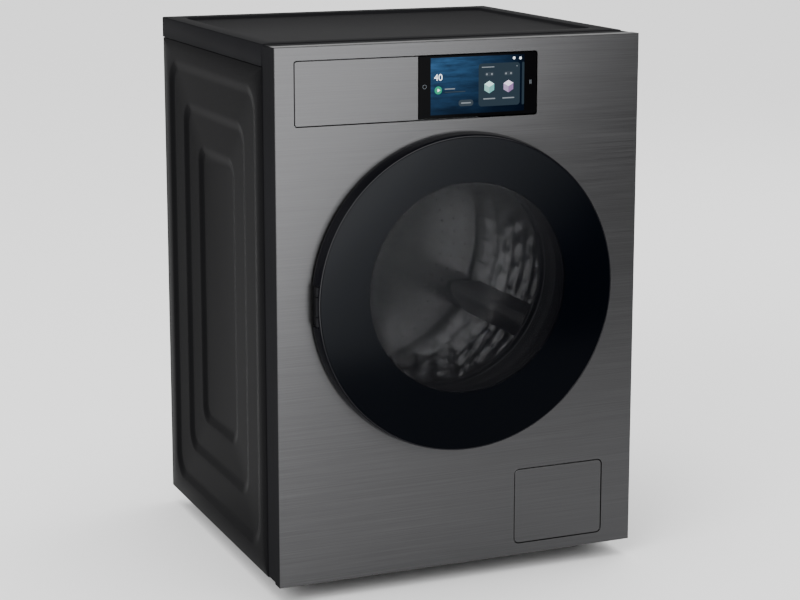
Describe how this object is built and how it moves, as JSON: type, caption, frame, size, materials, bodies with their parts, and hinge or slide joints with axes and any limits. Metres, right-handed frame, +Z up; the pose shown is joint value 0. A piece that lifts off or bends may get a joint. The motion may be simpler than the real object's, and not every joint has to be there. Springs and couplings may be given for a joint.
{
  "type": "front loading washing machine",
  "caption": "Front loading washing machine with a round tinted glass door, a touch display beside a flush detergent drawer, and a filter flap.",
  "frame": {"origin": "on the floor, under the middle of the machine", "axes": "+X to the viewer's right, +Y from the door into the machine, +Z up"},
  "size_m": [0.6, 0.596, 0.85],
  "materials": {
    "stainless": "brushed dark stainless",
    "dark_steel": "satin dark grey paint",
    "galvanised": "zinc coated sheet",
    "black_gloss": "gloss black",
    "black_plastic": "matt black",
    "grey_plastic": "matt light grey",
    "white_plastic": "satin white",
    "tinted_glass": "tinted",
    "clear_glass": "clear",
    "screen": "lit display",
    "rubber": "matt grey rubber",
    "drum_steel": "polished stainless",
    "steel": "plain steel",
    "aluminium": "cast",
    "iron": "cast counterweight",
    "board": "circuit board"
  },
  "bodies": {
    "cabinet": {"base_tray": "black_plastic", "cabinet_screws": "steel", "damper_cylinders": "black_plastic", "dispenser_housing": "grey_plastic", "display_glass": "tinted_glass", "display_housing": "black_plastic", "display_screen": "screen", "door_gasket": "rubber", "door_lock": "black_plastic", "drain_pipe": "grey_plastic", "fill_hose": "rubber", "front_frame": "black_plastic", "front_panel": "stainless", "hinge_bracket": "dark_steel", "hinge_pin": "dark_steel", "inlet_pipes": "rubber", "inlet_valve": "white_plastic", "main_control_board": "board", "mains_inlet": "black_plastic", "pump_housing": "white_plastic", "rear_access_cover": "galvanised", "rear_panel": "galvanised", "side_panel_left": "dark_steel", "side_panel_right": "dark_steel", "sump_hose": "rubber", "suspension_springs": "steel", "top_brace": "galvanised", "top_cover": "dark_steel"},
    "tub": {"tub_front": "grey_plastic", "tub_rear": "grey_plastic", "tub_screws": "steel", "counterweight_top": "iron", "counterweight_front": "iron", "heater": "steel", "drum_bearings": "steel", "motor_body": "steel", "drive_belt": "rubber", "damper_rods": "steel"},
    "drum": {"drum_shell": "drum_steel", "drum_back": "drum_steel", "drum_lifters": "grey_plastic", "drum_spider": "aluminium", "drum_shaft": "steel", "drum_pulley": "aluminium"},
    "motor_rotor": {"motor_pulley": "steel"},
    "pump_rotor": {"pump_impeller": "black_plastic"},
    "door": {"door_ring": "black_gloss", "door_glass": "tinted_glass", "door_inner_frame": "black_plastic", "door_bowl": "clear_glass", "door_hinge_arm": "dark_steel"},
    "door_catch": {"door_hook": "steel"},
    "drawer": {"drawer_front": "stainless", "drawer_tray": "white_plastic"},
    "flap": {"filter_flap": "stainless"},
    "plug": {"filter_plug": "black_plastic"},
    "foot_front_left": {"foot_front_left": "black_plastic"},
    "foot_front_right": {"foot_front_right": "black_plastic"},
    "foot_rear_left": {"foot_rear_left": "black_plastic"},
    "foot_rear_right": {"foot_rear_right": "black_plastic"}
  },
  "joints": [
    {"name": "tub_suspension", "type": "slide", "parent": "cabinet", "child": "tub", "axis": [0, 0, 1], "range_m": [-0.006, 0.006], "stiffness_N_per_m": 30000, "springref_m": 0.0118, "deforming": ["suspension_springs", "fill_hose", "sump_hose", "door_gasket"]},
    {"name": "drum_spin", "type": "hinge", "parent": "tub", "child": "drum", "pos_m": [0, 0, 0.475], "axis": [0, 1, 0], "continuous": true},
    {"name": "motor_spin", "type": "hinge", "parent": "tub", "child": "motor_rotor", "pos_m": [0.07, 0.2, 0.165], "axis": [0, 1, 0], "continuous": true},
    {"name": "pump_spin", "type": "hinge", "parent": "cabinet", "child": "pump_rotor", "pos_m": [0.171, -0.097, 0.105], "axis": [0, 1, 0], "continuous": true},
    {"name": "door_hinge", "type": "hinge", "parent": "cabinet", "child": "door", "pos_m": [-0.24, -0.288, 0.465], "axis": [0, 0, 1], "range_deg": [-140, 0]},
    {"name": "door_hook_pivot", "type": "hinge", "parent": "door", "child": "door_catch", "pos_m": [0.205, -0.279, 0.465], "axis": [0, 0, 1], "range_deg": [0, 8], "stiffness_Nm_per_rad": 0.4},
    {"name": "drawer_slide", "type": "slide", "parent": "cabinet", "child": "drawer", "axis": [0, -1, 0], "range_m": [0, 0.2]},
    {"name": "filter_flap_hinge", "type": "hinge", "parent": "cabinet", "child": "flap", "pos_m": [0.171, -0.2685, 0.051], "axis": [1, 0, 0], "range_deg": [0, 90]},
    {"name": "filter_plug_turn", "type": "hinge", "parent": "cabinet", "child": "plug", "pos_m": [0.171, -0.23, 0.105], "axis": [0, 1, 0], "range_deg": [0, 180]},
    {"name": "foot_front_left_height", "type": "slide", "parent": "cabinet", "child": "foot_front_left", "axis": [0, 0, -1], "range_m": [0, 0.012]},
    {"name": "foot_front_right_height", "type": "slide", "parent": "cabinet", "child": "foot_front_right", "axis": [0, 0, -1], "range_m": [0, 0.012]},
    {"name": "foot_rear_left_height", "type": "slide", "parent": "cabinet", "child": "foot_rear_left", "axis": [0, 0, -1], "range_m": [0, 0.012]},
    {"name": "foot_rear_right_height", "type": "slide", "parent": "cabinet", "child": "foot_rear_right", "axis": [0, 0, -1], "range_m": [0, 0.012]}
  ],
  "couplings": [
    {"joint": "motor_spin", "follows": "drum_spin", "ratio": 14}
  ]
}
